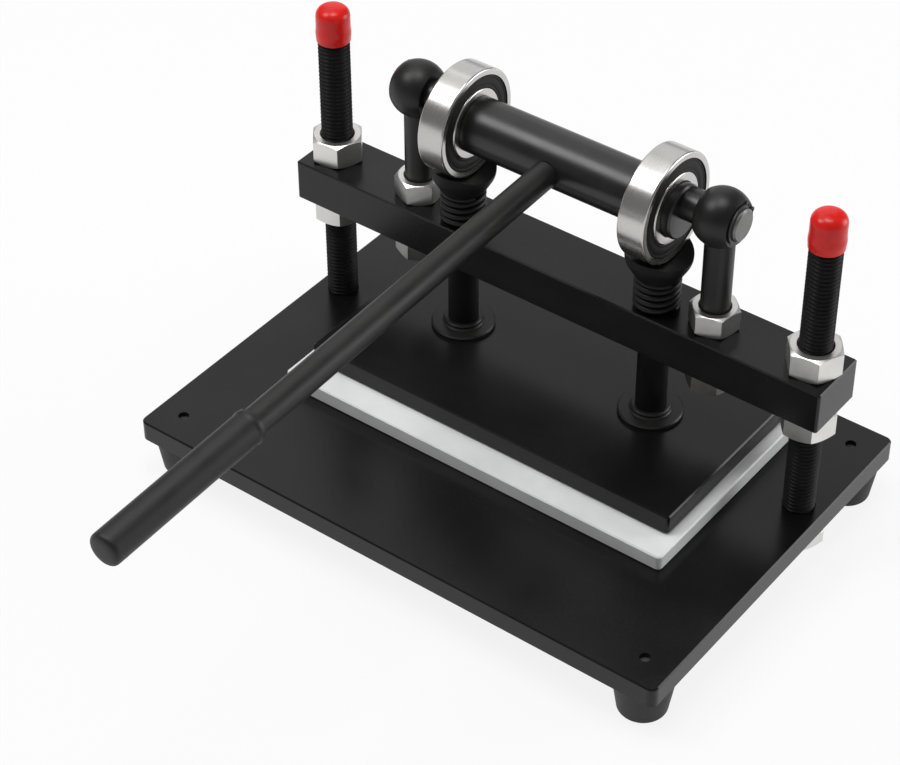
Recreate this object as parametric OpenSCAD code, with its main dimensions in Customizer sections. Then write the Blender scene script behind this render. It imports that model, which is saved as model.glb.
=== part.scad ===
// Lever press for cutting dies.
// Two threaded columns carry a cross beam. A lever turns an eccentric shaft in two eyebolts on the
// beam, and ball bearings on that shaft push a press plate down on a cutting pad.
// Millimetres. +Z is up, +X is the operator's right, and the lever points to -Y.
// The origin lies on the bench, under the middle of the whole machine. The pieces are placed
// from the middle of the base plate, and frame_mid_y then moves them all to that origin.

/* [Base plate] */
// Width of the base plate, side to side
base_w = 340; // [320:1:400]
// Depth of the base plate, front to back
base_d = 235; // [222:1:300]
// Thickness of the base plate
base_t = 13; // [10:0.5:20]
// Radius of the base plate's corners
base_r = 4.5; // [2:0.5:12]
// Chamfer on the edges of the steel plates
edge_c = 0.8; // [0.3:0.1:1.4]

/* [Feet] */
// Height of a rubber foot
foot_h = 22; // [18:0.5:35]
// Diameter of a foot at the base plate
foot_top_d = 33; // [29:0.5:34]
// Diameter of a foot on the bench
foot_bottom_d = 27; // [23:0.5:28]
// Radius of the foot's bottom edge
foot_edge_r = 2.5; // [0.5:0.5:4]
// Foot centre to the base plate's side edge
foot_inset_x = 17; // [17:0.5:30]
// Foot centre to the base plate's front or back edge
foot_inset_y = 17.5; // [17:0.5:30]
// Diameter of the screw that holds a foot
foot_screw_d = 6; // [4:0.5:8]
// Diameter of that screw's head
foot_head_d = 12; // [10:0.5:14]
// Width across flats of the socket in that head
foot_socket = 5; // [3:0.5:6]
// Height of that screw's head
foot_head_h = 4; // [2:0.5:5]
// Depth of the pocket for the head in the foot
foot_pocket = 10; // [6:0.5:13]
// Depth of the screw's tip below the base plate's top
foot_tip_depth = 3; // [1:0.5:6]

/* [Cutting pad and press plate] */
// Width of the cutting pad
pad_w = 250; // [236:1:262]
// Depth of the cutting pad, front to back
pad_d = 150; // [112:1:150]
// Thickness of the cutting pad
pad_t = 9.5; // [5:0.5:14]
// Radius of the pad's corners
pad_r = 3; // [2:0.5:10]
// How far the pad stands out in front of the press plate
pad_overhang = 16.6; // [5:0.1:25]
// Width of the press plate
plate_w = 237; // [200:1:262]
// Depth of the press plate, front to back
plate_d = 132; // [100:1:142]
// Thickness of the press plate
plate_t = 11.5; // [8:0.5:18]
// Radius of the press plate's corners
plate_r = 2; // [1.5:0.5:8]
// Gap between the press plate and the pad with the lever down
plate_gap = 0.4; // [0.3:0.05:2]

/* [Columns] */
// Diameter of a threaded column
column_d = 18; // [14:1:20]
// Column centre to the base plate's side edge
column_inset = 15; // [14:0.5:24]
// Column centre behind the middle of the base plate
column_y = 42.5; // [20:0.5:48]
// Height of the columns above the base plate
column_h = 190; // [175:1:245]
// Length of column below the nut under the base plate
column_tail = 1.5; // [0.5:0.5:4]
// Length of a column's cap
cap_h = 21; // [16:0.5:36]
// Wall of a column's cap
cap_wall = 0.75; // [0.5:0.05:2]
// Thickness of the closed end of a cap
cap_end = 1.8; // [1:0.1:4]
// Radius of the cap's top edge
cap_r = 3; // [1:0.25:5]

/* [Nuts] */
// Width across flats of a column nut
column_nut_af = 27; // [24:0.5:30]
// Height of the column nuts on the beam
column_nut_h = 15; // [8:0.5:17]
// Height of the nut under the base plate
base_nut_h = 9; // [6:0.5:13]
// Width across flats of an eyebolt nut
eye_nut_af = 24; // [21:0.5:26]
// Height of an eyebolt nut
eye_nut_h = 13; // [8:0.5:16]
// Turn of the column nuts about the columns
column_nut_turn = 8; // [0:1:60]
// Turn of the left eyebolt's nuts
left_eye_nut_turn = 37; // [0:1:60]
// Turn of the right eyebolt's nuts
right_eye_nut_turn = 17; // [0:1:60]

/* [Cross beam] */
// Height of the beam's underside above the base plate, at its lowest setting
beam_lift = 69; // [62:0.5:78]
// Height of the beam
beam_h = 25; // [20:0.5:32]
// Depth of the beam, front to back
beam_d = 37.5; // [36:0.5:55]
// Column centre to the end of the beam
beam_end = 15; // [14:0.5:25]
// Radius of the beam's upright edges
beam_r = 1.6; // [1.5:0.1:5]

/* [Eyebolts] */
// Eyebolt centre to the middle of the machine
eye_x = 96; // [92:0.1:108]
// Eyebolt centre in front of the columns
eye_lead = 1.5; // [0:0.1:4]
// Height of the eye's centre above the beam
eye_rise = 69.1; // [64:0.1:80]
// Diameter of the ball head
eye_ball_d = 32; // [29:0.5:36]
// Width of the ball head between its flats
eye_w = 20; // [14:0.5:22]
// Diameter of the eyebolt's shank
eye_shank_d = 16; // [12:0.5:17]
// Length of shank below the lower nut
eye_tail = 3; // [1:0.5:6]

/* [Eccentric shaft] */
// Diameter of the shaft between the bearings
shaft_d = 31.5; // [31.5:0.5:36]
// Diameter of the eccentric pins that turn in the eyebolts
pin_d = 18; // [12:0.5:18]
// Offset of the pins from the shaft's axis
eccentricity = 5.25; // [4:0.25:6]
// Angle of the shaft in front of bottom dead centre, with the lever down
rest_angle = 30; // [20:1:45]
// Length of bearing seat that shows outside each bearing
seat_end = 5; // [1:0.5:8]
// Length of pin that shows outside its retaining ring
pin_stub = 1.8; // [1:0.1:4]
// Thickness of a retaining ring
clip_t = 1; // [0.8:0.1:1.6]
// Radial width of a retaining ring
clip_w = 2.3; // [1.8:0.1:3]
// Reach of the two lugs of a retaining ring
clip_lug = 3.8; // [3.2:0.1:4.5]
// Opening of a retaining ring between its lugs
clip_opening = 4; // [3:0.25:6]
// Depth of the groove that holds a retaining ring
clip_groove = 0.4; // [0.2:0.05:0.8]
// Turn of that opening about the pin, from level at the back
clip_turn = 52; // [0:1:90]

/* [Bearings] */
// Outer diameter of a bearing
bearing_od = 62; // [58:1:68]
// Bore of a bearing
bearing_id = 30; // [28.5:0.5:31]
// Width of a bearing
bearing_w = 16; // [15:0.5:18]
// Bearing centre to the middle of the machine
bearing_x = 63; // [54:0.5:65]
// Diameter of a ball
ball_d = 9.5; // [8:0.25:9.75]
// Balls in a bearing
ball_n = 9; // [6:1:9]
// Thickness of a seal
seal_t = 1.6; // [0.8:0.1:1.8]
// Depth of a seal's rim in the outer ring
seal_grip = 1.5; // [0.8:0.1:2]
// Depth of a seal below the face of the bearing
seal_recess = 0.6; // [0.2:0.1:1]
// Radius of the edges of a bearing ring
ring_edge_r = 1; // [0.3:0.1:1.5]
// Wall of a ball cage
cage_wall = 3; // [2:0.1:3.5]
// Gap between a ball cage and the seals
cage_gap = 0.2; // [0.15:0.05:0.4]

/* [Push posts] */
// Diameter of a push post
post_d = 17; // [15:0.5:20]
// Diameter of the saddle head
head_d = 36; // [34:0.5:42]
// Solid depth of the head below the saddle
head_floor = 11; // [9:0.25:14]
// Slope of the head's flare, measured from upright
head_flare = 30; // [24:1:40]
// Radius of the curve that ends the flare
head_curve = 10; // [6:0.5:12]
// Radius of the saddle beyond the bearing's radius
saddle_relief = 4; // [3:0.25:8]
// Gap between bearing and saddle with the lever down
saddle_gap = 0.65; // [0.55:0.05:1]
// Flat left on the tip of each saddle horn
horn_flat = 1.5; // [0.5:0.1:4]
// Diameter of the collar at the foot of a post
collar_d = 36; // [30:0.5:42]
// Height of that collar
collar_h = 5.5; // [4:0.5:12]
// Wall of the collar's hub round the post
collar_hub = 2.5; // [1.5:0.1:5]
// Height of the collar's rim
collar_rim = 2.6; // [1:0.1:3.2]
// Diameter of the screw that holds a post to the press plate
post_screw_d = 10; // [6:0.5:12]
// Diameter of that screw's countersunk head
post_screw_head_d = 20; // [16:0.5:22]
// Length of that screw above the press plate
post_screw_grip = 20; // [12:0.5:30]
// Width across flats of the socket in its head
post_screw_socket = 6; // [3:0.5:6]
// Depth of that socket
post_screw_socket_depth = 4; // [2:0.25:4.5]

/* [Return springs] */
// Diameter of the spring wire
spring_wire = 3.4; // [2:0.1:4]
// Gap between the turns of a spring with the lever down
spring_gap = 1; // [0.6:0.05:2]
// Gap between spring and post
spring_play = 0.3; // [0.2:0.05:0.8]
// Gap at each end of a spring
spring_seat = 0.05; // [0.02:0.01:0.1]

/* [Lever] */
// Length of the lever from the shaft's axis to its tip
lever_l = 350; // [265:1:430]
// Slope of the lever below level, at its lowest
lever_tilt = 2; // [0:0.5:10]
// Diameter of the lever's rod
lever_d = 15; // [13.5:0.5:19]
// Diameter of the threaded end in the shaft
lever_stud_d = 12; // [8:0.5:13]
// Length of the threaded end
lever_stud_l = 18; // [12:0.5:20]
// Least depth of the flat seat for the lever in the shaft
lever_seat_depth = 0.1; // [0.05:0.05:1]
// Wall of the hand grip
grip_wall = 1.7; // [1.5:0.1:5]
// Length of the hand grip
grip_l = 102; // [80:1:140]
// Thickness of the closed end of the grip
grip_end = 4; // [2:0.5:8]
// Radius of the grip's edges
grip_r = 1.2; // [0.5:0.1:1.5]

/* [Edges] */
// Chamfer on the ends of columns, eyebolts and shaft
end_c = 1; // [0.3:0.1:1.5]
// Chamfer on nut threads, collars and the lever
small_c = 0.8; // [0.3:0.1:1]

/* [Fits] */
// Radial clearance of fitted and running round parts
fit = 0.05; // [0.02:0.01:0.1]
// Radial clearance of plain drilled holes
drill_play = 0.5; // [0.3:0.05:0.8]
// Gap between faces that move past each other
side_gap = 0.3; // [0.2:0.05:0.5]

/* [Hidden] */
$fn = 64;
SIDES = [-1, 1];

// Heights of the stack on the bench
base_top = foot_h + base_t;
pad_top = base_top + pad_t;
plate_bottom = pad_top + plate_gap;
plate_top = plate_bottom + plate_t;
beam_bottom = base_top + beam_lift;
beam_top = beam_bottom + beam_h;
pin_z = beam_top + eye_rise;
column_top = base_top + column_h;

// Columns and beam
column_x = base_w / 2 - column_inset;
beam_l = 2 * (column_x + beam_end);

// Eccentric shaft at its lowest, with the lever down
pin_y = column_y - eye_lead;
shaft_y = pin_y - eccentricity * sin(rest_angle);
shaft_z = pin_z - eccentricity * cos(rest_angle);
seat_x = bearing_x + bearing_w / 2 + seat_end;
clip_x = eye_x + eye_w / 2 + side_gap;
pin_end_x = clip_x + clip_t + pin_stub;
groove_r = pin_d / 2 - clip_groove;

// Push posts stand under the middle of the shaft's sway
post_y = pin_y - eccentricity * (1 + sin(rest_angle)) / 2;
saddle_r = bearing_od / 2 + saddle_relief;
saddle_bottom = shaft_z - bearing_od / 2 - saddle_gap;
saddle_z = saddle_bottom + saddle_r;
head_r = head_d / 2;
head_bottom = saddle_bottom - head_floor;
head_top = saddle_z - sqrt(pow(saddle_r, 2) - pow(head_r - horn_flat, 2));

// Press plate and pad lie under the posts
plate_front = post_y - plate_d / 2;
pad_y = plate_front - pad_overhang + pad_d / 2;

// Springs between beam and saddle heads
rings_per_turn = 8;
spring_sides = 6;
spring_mid_r = (post_d / 2 + spring_play) / cos(180 / rings_per_turn) + spring_wire / 2;
spring_od = 2 * spring_mid_r + spring_wire;
spring_l = head_bottom - beam_top;
spring_climb = spring_l - spring_wire - 2 * spring_seat;
spring_turns = spring_climb / (spring_wire + spring_gap);
spring_steps = ceil(spring_turns * rings_per_turn);
neck_r = spring_od / 2;

// Bearing section
pitch_r = (bearing_od + bearing_id) / 4;
shoulder_share = 0.32;
inner_r = pitch_r - ball_d * shoulder_share;
outer_r = pitch_r + ball_d * shoulder_share;
seal_rim_r = outer_r + seal_grip;
seal_inside = bearing_w / 2 - seal_recess - seal_t;
cage_half = seal_inside - cage_gap;

// Lever and the origin of the part
lever_seat = sqrt(pow(shaft_d / 2, 2) - pow(lever_d / 2 + fit, 2)) - lever_seat_depth;
grip_d = lever_d + 2 * (fit + grip_wall);
lever_reach = (lever_l - grip_r) * cos(lever_tilt) + (grip_d / 2 - grip_r) * sin(lever_tilt) + grip_r;
frame_mid_y = (shaft_y - lever_reach + base_d / 2) / 2;

// Spare length that takes a cut clear through a face
past = 1;

// Turned face of a nut, as a share of its width across flats
nut_face_share = 0.97;

// Radius of a retaining ring's lug, as a share of the ring's width
lug_share = 0.7;

// Placing

// Moves a piece from the middle of the base plate to the part's origin
module on_bench() {
    translate([0, -frame_mid_y, 0]) children();
}

// Stands a piece on a foot's centre: side -1 is left, row -1 is front
module at_foot(side, row) {
    translate([side * (base_w / 2 - foot_inset_x), row * (base_d / 2 - foot_inset_y), 0]) children();
}

// Lays a piece drawn about Z along the shaft's axis, with Z to +X
module on_shaft(x) {
    translate([x, shaft_y, shaft_z]) rotate([0, 90, 0]) children();
}

// Lays a piece drawn about Z along an eccentric pin, with Z pointing outwards
module on_pin(side, x) {
    translate([side * x, pin_y, pin_z]) rotate([0, side * 90, 0]) children();
}

// Points a piece drawn along Z down the lever, from the shaft's axis
module along_lever() {
    translate([0, shaft_y, shaft_z]) rotate([90 + lever_tilt, 0, 0]) children();
}

// Shared shapes

// Outline of a bar's section with its four corners cut off
module chamfered_section(w, h, c) {
    polygon([
        [-w / 2 + c, 0], [w / 2 - c, 0], [w / 2, c], [w / 2, h - c],
        [w / 2 - c, h], [-w / 2 + c, h], [-w / 2, h - c], [-w / 2, c]
    ]);
}

// Flat plate with round corners and chamfered edges, standing on Z = 0
module chamfered_plate(w, d, h, r, c) {
    run_x = w - 2 * r;
    run_y = d - 2 * r;
    translate([-run_x / 2, 0, 0]) rotate([90, 0, 90]) linear_extrude(run_x) chamfered_section(d, h, c);
    translate([0, run_y / 2, 0]) rotate([90, 0, 0]) linear_extrude(run_y) chamfered_section(w, h, c);
    for (sx = SIDES, sy = SIDES)
        translate([sx * run_x / 2, sy * run_y / 2, 0]) rotate_extrude()
            polygon([[0, 0], [r - c, 0], [r, c], [r, h - c], [r - c, h], [0, h]]);
}

// Round bar with chamfered ends, standing on Z = 0
module chamfered_bar(d, h, c) {
    r = d / 2;
    rotate_extrude() polygon([[0, 0], [r - c, 0], [r, c], [r, h - c], [r - c, h], [0, h]]);
}

// Half section of a ring or sleeve with round outer edges
module round_edged_section(r_in, r_out, h, edge_r) {
    translate([r_in, 0]) square([r_out - edge_r - r_in, h]);
    translate([r_in, edge_r]) square([r_out - r_in, h - 2 * edge_r]);
    for (z = [edge_r, h - edge_r]) translate([r_out - edge_r, z]) circle(edge_r);
}

// Hexagon nut standing on Z = 0, with its corners turned off at both ends
module hex_nut(af, h, hole_d) {
    corner_r = af / 2 / cos(30);
    face_r = af / 2 * nut_face_share;
    drop = (corner_r - face_r) * tan(30);
    difference() {
        intersection() {
            cylinder(r = corner_r, h = h, $fn = 6);
            rotate_extrude() polygon([
                [0, 0], [face_r, 0], [corner_r, drop], [corner_r, h - drop], [face_r, h], [0, h]
            ]);
        }
        translate([0, 0, -past]) cylinder(d = hole_d, h = h + 2 * past);
        translate([0, 0, -small_c]) cylinder(d1 = hole_d + 4 * small_c, d2 = hole_d, h = 2 * small_c);
        translate([0, 0, h - small_c]) cylinder(d1 = hole_d, d2 = hole_d + 4 * small_c, h = 2 * small_c);
    }
}

// One nut on each column, standing at height z
module column_nuts(z, h) {
    for (side = SIDES) translate([side * column_x, column_y, z]) rotate([0, 0, column_nut_turn])
        hex_nut(column_nut_af, h, column_d + 2 * fit);
}

// One nut on each eyebolt, standing at height z
module eyebolt_nuts(z) {
    for (side = SIDES) translate([side * eye_x, pin_y, z])
        rotate([0, 0, side < 0 ? left_eye_nut_turn : right_eye_nut_turn])
            hex_nut(eye_nut_af, eye_nut_h, eye_shank_d + 2 * fit);
}

// Base, feet and pad

module base_plate() {
    color("#1c1c1e") on_bench() difference() {
        translate([0, 0, foot_h]) chamfered_plate(base_w, base_d, base_t, base_r, edge_c);
        for (side = SIDES) translate([side * column_x, column_y, foot_h - past])
            cylinder(d = column_d + 2 * fit, h = base_t + 2 * past);
        for (side = SIDES, row = SIDES) at_foot(side, row) translate([0, 0, foot_h - past])
            cylinder(d = foot_screw_d + 2 * fit, h = base_t + 2 * past);
    }
}

module foot(side, row) {
    top_r = foot_top_d / 2;
    low_r = foot_bottom_d / 2;
    edge_r = foot_edge_r;
    color("#242424") on_bench() at_foot(side, row) difference() {
        rotate_extrude() {
            polygon([
                [0, 0], [low_r - edge_r, 0], [low_r - edge_r, edge_r],
                [low_r, edge_r], [top_r, foot_h], [0, foot_h]
            ]);
            intersection() {
                translate([low_r - edge_r, edge_r]) circle(edge_r);
                square([low_r, edge_r]);
            }
        }
        translate([0, 0, -past]) cylinder(d = foot_screw_d + 2 * fit, h = foot_h + 2 * past);
        translate([0, 0, -past]) cylinder(d = foot_head_d + 2 * drill_play, h = foot_pocket + past);
    }
}

module foot_screws() {
    shank_l = base_top - foot_tip_depth - foot_pocket;
    color("silver") on_bench() for (side = SIDES, row = SIDES) at_foot(side, row) {
        translate([0, 0, foot_pocket - foot_head_h]) difference() {
            chamfered_bar(foot_head_d, foot_head_h, small_c);
            translate([0, 0, -past])
                cylinder(d = foot_socket / cos(30), h = past + foot_head_h / 2, $fn = 6);
        }
        translate([0, 0, foot_pocket]) cylinder(d = foot_screw_d, h = shank_l);
    }
}

module cutting_pad() {
    color("white") on_bench() translate([0, pad_y, base_top])
        chamfered_plate(pad_w, pad_d, pad_t, pad_r, edge_c);
}

// Columns

module column(side) {
    foot_z = foot_h - base_nut_h - column_tail;
    color("#202022") on_bench() translate([side * column_x, column_y, foot_z])
        chamfered_bar(column_d, column_top - foot_z, end_c);
}

module column_cap(side) {
    bore_r = column_d / 2 + fit;
    out_r = bore_r + cap_wall;
    color("#d8161c") on_bench() translate([side * column_x, column_y, column_top + cap_end - cap_h])
        difference() {
            rotate_extrude() {
                square([out_r - cap_r, cap_h]);
                square([out_r, cap_h - cap_r]);
                intersection() {
                    translate([out_r - cap_r, cap_h - cap_r]) circle(cap_r);
                    square([out_r, cap_h]);
                }
            }
            translate([0, 0, -past]) cylinder(r = bore_r, h = cap_h - cap_end + past);
        }
}

module column_base_nuts() {
    color("silver") on_bench() column_nuts(foot_h - base_nut_h, base_nut_h);
}

// Cross beam

module cross_beam() {
    color("#1e1e20") on_bench() difference() {
        translate([0, column_y, beam_bottom]) chamfered_plate(beam_l, beam_d, beam_h, beam_r, edge_c);
        for (side = SIDES) {
            translate([side * column_x, column_y, beam_bottom - past])
                cylinder(d = column_d + 2 * drill_play, h = beam_h + 2 * past);
            translate([side * eye_x, pin_y, beam_bottom - past])
                cylinder(d = eye_shank_d + 2 * drill_play, h = beam_h + 2 * past);
            translate([side * bearing_x, post_y, beam_bottom - past])
                cylinder(d = post_d + 2 * fit, h = beam_h + 2 * past);
        }
    }
}

module column_top_nuts() {
    color("silver") on_bench() column_nuts(beam_top, column_nut_h);
}

module column_lower_nuts() {
    color("silver") on_bench() column_nuts(beam_bottom - column_nut_h, column_nut_h);
}

// Ball-headed eyebolt: the shank runs up into the ball, and the eye is bored across it
module eyebolt(side) {
    tail_z = beam_bottom - eye_nut_h - eye_tail;
    color("#1a1a1c") on_bench() difference() {
        union() {
            translate([side * eye_x, pin_y, pin_z]) intersection() {
                sphere(d = eye_ball_d);
                cube([eye_w, eye_ball_d, eye_ball_d], center = true);
            }
            translate([side * eye_x, pin_y, tail_z]) chamfered_bar(eye_shank_d, pin_z - tail_z, end_c);
        }
        on_pin(side, eye_x - eye_w) cylinder(d = pin_d + 2 * fit, h = 2 * eye_w);
    }
}

module eyebolt_top_nuts() {
    color("silver") on_bench() eyebolt_nuts(beam_top);
}

module eyebolt_lower_nuts() {
    color("silver") on_bench() eyebolt_nuts(beam_bottom - eye_nut_h);
}

// Return springs: one tube of wire wound from the beam up to the saddle head

// Point on the wire's surface: step counts rings along the wire, corner counts round it
function spring_point(step, corner) =
    let (turn = 360 * spring_turns * step / spring_steps)
    let (around = 360 * (corner + 0.5) / spring_sides)
    let (reach = spring_mid_r + spring_wire / 2 * cos(around))
    let (rise = spring_climb * step / spring_steps + spring_wire / 2 * sin(around))
    [reach * cos(turn), reach * sin(turn), rise];

spring_points = [
    for (step = [0 : spring_steps], corner = [0 : spring_sides - 1]) spring_point(step, corner)
];

// Number of a point in that list
function spring_index(step, corner) = step * spring_sides + corner % spring_sides;

spring_faces = concat(
    [for (step = [0 : spring_steps - 1], corner = [0 : spring_sides - 1]) each [
        [spring_index(step, corner), spring_index(step, corner + 1), spring_index(step + 1, corner + 1)],
        [spring_index(step, corner), spring_index(step + 1, corner + 1), spring_index(step + 1, corner)]
    ]],
    [for (corner = [1 : spring_sides - 2])
        [0, spring_index(0, corner + 1), spring_index(0, corner)]],
    [for (corner = [1 : spring_sides - 2])
        [spring_index(spring_steps, 0), spring_index(spring_steps, corner),
         spring_index(spring_steps, corner + 1)]]
);

// Least distance between points of the wire that lie one turn apart
steps_in_turn = spring_steps / spring_turns;
spring_self_gap = min([
    for (low = [0 : spring_steps - steps_in_turn], a = [0 : spring_sides - 1], b = [0 : spring_sides - 1])
        norm(spring_point(low, a) - spring_point(low + steps_in_turn, b))
]);

module return_spring(side) {
    echo(least_gap_between_spring_turns = spring_self_gap);
    color("#2a2a2c") on_bench()
        translate([side * bearing_x, post_y, beam_top + spring_seat + spring_wire / 2])
            polyhedron(points = spring_points, faces = spring_faces, convexity = 10);
}

// Eccentric shaft and lever

// Pin on the shaft's end, with a groove for its retaining ring
module eccentric_pin() {
    pin_l = pin_end_x - seat_x + end_c;
    groove_z = clip_x - fit - seat_x + end_c;
    pin_c = pin_stub / 2;
    pin_r = pin_d / 2;
    rotate_extrude() polygon([
        [0, 0], [pin_r, 0], [pin_r, groove_z], [groove_r, groove_z],
        [groove_r, groove_z + clip_t + 2 * fit], [pin_r, groove_z + clip_t + 2 * fit],
        [pin_r, pin_l - pin_c], [pin_r - pin_c, pin_l], [0, pin_l]
    ]);
}

module eccentric_shaft() {
    body_x = bearing_x - bearing_w / 2;
    body_r = shaft_d / 2;
    seat_r = bearing_id / 2 - fit;
    step_c = (body_r - seat_r) / 2;
    color("#161618") on_bench() difference() {
        union() {
            on_shaft(0) rotate_extrude() polygon([
                [0, -seat_x], [seat_r - end_c, -seat_x], [seat_r, end_c - seat_x], [seat_r, -body_x],
                [body_r - step_c, -body_x], [body_r, step_c - body_x],
                [body_r, body_x - step_c], [body_r - step_c, body_x],
                [seat_r, body_x], [seat_r, seat_x - end_c], [seat_r - end_c, seat_x], [0, seat_x]
            ]);
            for (side = SIDES) on_pin(side, seat_x - end_c) eccentric_pin();
        }
        along_lever() {
            translate([0, 0, lever_seat - lever_stud_l - past])
                cylinder(d = lever_stud_d + 2 * fit, h = shaft_d + lever_stud_l);
            translate([0, 0, lever_seat]) cylinder(d = lever_d + 2 * fit, h = shaft_d);
        }
    }
}

// Open ring in the groove of a pin, with a drilled lug on each side of its opening
module retaining_ring() {
    in_r = groove_r + fit;
    lug_r = clip_w * lug_share;
    lug_reach = groove_r + clip_lug - lug_r;
    lug_turn = asin((clip_opening / 2 + lug_r) / lug_reach);
    linear_extrude(clip_t) difference() {
        union() {
            circle(in_r + clip_w);
            for (side = SIDES) rotate(side * lug_turn) translate([lug_reach, 0]) circle(lug_r);
        }
        circle(in_r);
        translate([0, -clip_opening / 2]) square([2 * lug_reach, clip_opening]);
        for (side = SIDES) rotate(side * lug_turn) translate([lug_reach, 0]) circle(lug_r / 2);
    }
}

module pin_retaining_rings() {
    color("#55565a") on_bench() for (side = SIDES)
        on_pin(side, clip_x) rotate([0, 0, 90 + side * (90 - clip_turn)]) retaining_ring();
}

module lever_rod() {
    rod_end = lever_l - grip_end;
    color("#1c1c1c") on_bench() along_lever() {
        translate([0, 0, lever_seat]) chamfered_bar(lever_d, rod_end - lever_seat, small_c);
        translate([0, 0, lever_seat - lever_stud_l]) cylinder(d = lever_stud_d, h = lever_stud_l + past);
    }
}

module lever_grip() {
    bore_r = lever_d / 2 + fit;
    color("#262626") on_bench() along_lever() translate([0, 0, lever_l - grip_l]) difference() {
        rotate_extrude() round_edged_section(0, grip_d / 2, grip_l, grip_r);
        translate([0, 0, -past]) cylinder(r = bore_r, h = grip_l - grip_end + past);
    }
}

// Bearings: two rings, a set of balls in a cage, and two seals

module inner_ring(side) {
    color("#c9c9cc") on_bench() on_shaft(side * bearing_x) rotate_extrude() difference() {
        translate([bearing_id / 2, -bearing_w / 2]) square([inner_r - bearing_id / 2, bearing_w]);
        translate([pitch_r, 0]) circle(ball_d / 2 + fit);
    }
}

module outer_ring(side) {
    seal_step = seal_recess + seal_t + fit;
    color("#b9b9bc") on_bench() on_shaft(side * bearing_x) rotate_extrude() difference() {
        translate([0, -bearing_w / 2]) round_edged_section(outer_r, bearing_od / 2, bearing_w, ring_edge_r);
        translate([pitch_r, 0]) circle(ball_d / 2 + fit);
        for (face = [bearing_w / 2 - seal_step, -bearing_w / 2 - past])
            translate([0, face]) square([seal_rim_r, seal_step + past]);
    }
}

module seals(side) {
    color("#2b2b2b") on_bench() on_shaft(side * bearing_x)
        for (z = [seal_inside, -seal_inside - seal_t]) translate([0, 0, z]) difference() {
            cylinder(r = seal_rim_r - fit, h = seal_t);
            translate([0, 0, -past]) cylinder(r = inner_r + fit, h = seal_t + 2 * past);
        }
}

module balls(side) {
    color("#d6d6d8") on_bench() on_shaft(side * bearing_x)
        for (k = [0 : ball_n - 1]) rotate([0, 0, 360 * k / ball_n]) translate([pitch_r, 0, 0])
            sphere(d = ball_d);
}

module cage(side) {
    color("#a8a08c") on_bench() on_shaft(side * bearing_x) difference() {
        rotate_extrude() translate([pitch_r - cage_wall / 2, -cage_half]) square([cage_wall, 2 * cage_half]);
        for (k = [0 : ball_n - 1]) rotate([0, 0, 360 * k / ball_n])
            translate([pitch_r - cage_wall, 0, 0]) rotate([0, 90, 0])
                cylinder(d = ball_d + 4 * fit, h = 2 * cage_wall);
    }
}

// Press plate and push posts

module press_plate() {
    color("#1b1b1d") on_bench() difference() {
        translate([0, post_y, plate_bottom]) chamfered_plate(plate_w, plate_d, plate_t, plate_r, edge_c);
        for (side = SIDES) translate([side * bearing_x, post_y, plate_bottom]) {
            translate([0, 0, -past]) cylinder(d = post_screw_d + 2 * fit, h = plate_t + 2 * past);
            translate([0, 0, -past]) cylinder(
                d1 = post_screw_head_d + 2 * fit + 2 * past, d2 = post_screw_d + 2 * fit,
                h = (post_screw_head_d - post_screw_d) / 2 + past
            );
        }
    }
}

// Half section of a saddle head: a flare up from the spring, ended by a curve and an upright wall
module head_section() {
    curve_x = head_r - head_curve;
    curve_z = ((curve_x - neck_r) * cos(head_flare) + head_curve) / sin(head_flare);
    head_h = head_top - head_bottom;
    intersection() {
        union() {
            polygon([
                [0, 0], [neck_r, 0],
                [curve_x + head_curve * cos(head_flare), curve_z - head_curve * sin(head_flare)],
                [curve_x, curve_z], [head_r, curve_z], [head_r, max(curve_z, head_h) + past],
                [0, max(curve_z, head_h) + past]
            ]);
            translate([curve_x, curve_z]) circle(head_curve);
        }
        square([head_r + past, head_h]);
    }
}

// Stem with a flared head, hollowed across the top to a saddle for the bearing
module push_post(side) {
    color("#1a1a1c") on_bench() translate([side * bearing_x, post_y, 0]) difference() {
        union() {
            translate([0, 0, head_bottom]) rotate_extrude() head_section();
            translate([0, 0, plate_top]) cylinder(d = post_d, h = head_bottom - plate_top + past);
        }
        translate([-head_d, 0, saddle_z]) rotate([0, 90, 0]) cylinder(r = saddle_r, h = 2 * head_d);
        translate([0, 0, plate_top - past])
            cylinder(d = post_screw_d + 2 * fit, h = post_screw_grip + 2 * past);
    }
}

// Collar round the foot of a post: a rim, a hollow and a raised hub
module post_collar(side) {
    hub_r = post_d / 2 + collar_hub;
    rim_r = collar_d / 2;
    color("#1a1a1c") on_bench() translate([side * bearing_x, post_y, plate_top]) difference() {
        rotate_extrude() polygon([
            [0, 0], [rim_r, 0], [rim_r, collar_rim - small_c], [rim_r - small_c, collar_rim],
            [hub_r + small_c, collar_rim], [hub_r, collar_rim + small_c], [hub_r, collar_h - small_c],
            [hub_r - small_c, collar_h], [0, collar_h]
        ]);
        translate([0, 0, -past]) cylinder(d = post_d + 2 * fit, h = collar_h + 2 * past);
    }
}

module post_screws() {
    head_h = (post_screw_head_d - post_screw_d) / 2;
    color("#2c2c2e") on_bench() for (side = SIDES) translate([side * bearing_x, post_y, plate_bottom])
        difference() {
            union() {
                cylinder(d = post_screw_d, h = plate_t + post_screw_grip);
                cylinder(d1 = post_screw_head_d, d2 = post_screw_d, h = head_h);
            }
            translate([0, 0, -past])
                cylinder(d = post_screw_socket / cos(30), h = past + post_screw_socket_depth, $fn = 6);
        }
}

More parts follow.
